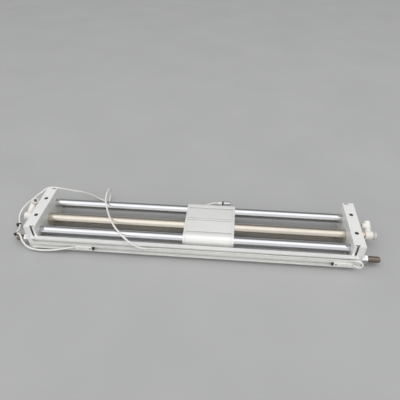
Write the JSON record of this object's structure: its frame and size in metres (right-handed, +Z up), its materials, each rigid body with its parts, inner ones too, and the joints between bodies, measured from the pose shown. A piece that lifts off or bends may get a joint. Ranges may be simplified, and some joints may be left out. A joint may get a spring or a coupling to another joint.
{
  "type": "rodless pneumatic cylinder",
  "caption": "Rodless air cylinder whose slider runs on two guide rods, moved by a magnetic piston inside a closed tube, with a sensor rail, sensors, shock absorbers and air fittings.",
  "frame": {"origin": "centre of the four screw head recesses of the two end plates, on the surface that the plates lie on", "axes": "+X along the stroke, to the end whose fitting has a knob; +Y away from the sensor rail; +Z up, along the bolt holes to the face that a machine base bolts to"},
  "size_m": [0.6224, 0.1514, 0.0469],
  "materials": {
    "plate_aluminium": "satin anodised",
    "rod_chrome": "hard chrome, polished",
    "tube_steel": "drawn stainless steel, smooth",
    "rail_aluminium": "clear anodised extrusion",
    "slider_aluminium": "clear anodised extrusion",
    "screw_steel": "plain",
    "bright_steel": "nickel plated",
    "seal_rubber": "matte",
    "black_plastic": "matte",
    "sensor_plastic": "moulded",
    "lead_jacket": "soft jacket",
    "bushing_bronze": "plain bearing",
    "magnet": "sintered",
    "wear_ring": "resin",
    "buffer_steel": "blackened thread",
    "stem_brass": "nickel plated brass",
    "fitting_plastic": "moulded, slight gloss",
    "collar_plastic": "moulded"
  },
  "bodies": {
    "frame": {"left_end_plate": "plate_aluminium", "right_end_plate": "plate_aluminium", "front_guide_rod": "rod_chrome", "rear_guide_rod": "rod_chrome", "cylinder_tube": "tube_steel", "rod_screws": "screw_steel", "tube_seals": "seal_rubber", "sensor_rail": "rail_aluminium", "rail_screws": "bright_steel", "rail_nuts": "screw_steel", "left_sensor": "sensor_plastic", "right_sensor": "sensor_plastic", "sensor_tips": "black_plastic", "sensor_screws": "bright_steel", "left_sensor_lead": "lead_jacket", "right_sensor_lead": "lead_jacket", "cable_ties": "black_plastic", "left_plug": "lead_jacket", "right_plug": "lead_jacket", "left_plug_sleeve": "bright_steel", "right_plug_sleeve": "bright_steel", "left_buffer_body": "buffer_steel", "right_buffer_body": "buffer_steel", "buffer_nuts": "bright_steel", "left_fitting_stem": "stem_brass", "right_fitting_stem": "stem_brass"},
    "slider": {"slide_block": "slider_aluminium", "left_cover": "slider_aluminium", "right_cover": "slider_aluminium", "cover_screws": "screw_steel", "guide_bushings": "bushing_bronze", "outer_magnets": "magnet", "outer_yokes": "screw_steel", "slider_wear_rings": "wear_ring", "rod_scrapers": "seal_rubber"},
    "piston": {"piston_heads": "wear_ring", "piston_shaft": "screw_steel", "inner_magnets": "magnet", "inner_yokes": "screw_steel", "piston_seals": "seal_rubber"},
    "left_buffer": {"left_buffer_rod": "bright_steel"},
    "right_buffer": {"right_buffer_rod": "bright_steel"},
    "left_elbow": {"left_fitting_body": "fitting_plastic"},
    "right_elbow": {"right_fitting_body": "fitting_plastic"},
    "left_port": {"left_fitting_port": "fitting_plastic"},
    "right_port": {"right_fitting_port": "fitting_plastic"},
    "left_collar": {"left_release_collar": "collar_plastic"},
    "right_collar": {"right_release_collar": "collar_plastic"},
    "knob": {"flow_knob": "fitting_plastic"}
  },
  "joints": [
    {"name": "slider_travel", "type": "slide", "parent": "frame", "child": "slider", "axis": [1, 0, 0], "range_m": [-0.2285, 0.1715]},
    {"name": "piston_travel", "type": "slide", "parent": "frame", "child": "piston", "axis": [1, 0, 0], "range_m": [-0.2285, 0.1715]},
    {"name": "left_buffer_stroke", "type": "slide", "parent": "frame", "child": "left_buffer", "axis": [-1, 0, 0], "range_m": [0, 0.006], "stiffness_N_per_m": 800, "springref_m": -0.006},
    {"name": "right_buffer_stroke", "type": "slide", "parent": "frame", "child": "right_buffer", "axis": [1, 0, 0], "range_m": [0, 0.006], "stiffness_N_per_m": 800, "springref_m": -0.006},
    {"name": "left_elbow_swivel", "type": "hinge", "parent": "frame", "child": "left_elbow", "pos_m": [-0.289, 0, 0.023], "axis": [1, 0, 0], "continuous": true},
    {"name": "right_elbow_swivel", "type": "hinge", "parent": "frame", "child": "right_elbow", "pos_m": [0.289, 0, 0.023], "axis": [1, 0, 0], "continuous": true},
    {"name": "left_port_swivel", "type": "hinge", "parent": "left_elbow", "child": "left_port", "pos_m": [-0.289, 0.02582, 0.03089], "axis": [0, 0.9563, 0.2924], "continuous": true},
    {"name": "right_port_swivel", "type": "hinge", "parent": "right_elbow", "child": "right_port", "pos_m": [0.289, 0.01462, 0.02951], "axis": [0, 0.9135, 0.4067], "continuous": true},
    {"name": "left_collar_press", "type": "slide", "parent": "left_port", "child": "left_collar", "axis": [-0.5736, 0.2395, -0.7834], "range_m": [0, 0.0008], "stiffness_N_per_m": 500, "springref_m": -0.001},
    {"name": "right_collar_press", "type": "slide", "parent": "right_port", "child": "right_collar", "axis": [1, 0, 0], "range_m": [0, 0.0008], "stiffness_N_per_m": 500, "springref_m": -0.001},
    {"name": "knob_turn", "type": "hinge", "parent": "right_elbow", "child": "knob", "pos_m": [0.2988, 0, 0.023], "axis": [1, 0, 0], "range_deg": [-720, 0]}
  ],
  "couplings": [
    {"joint": "piston_travel", "follows": "slider_travel", "ratio": 1}
  ]
}
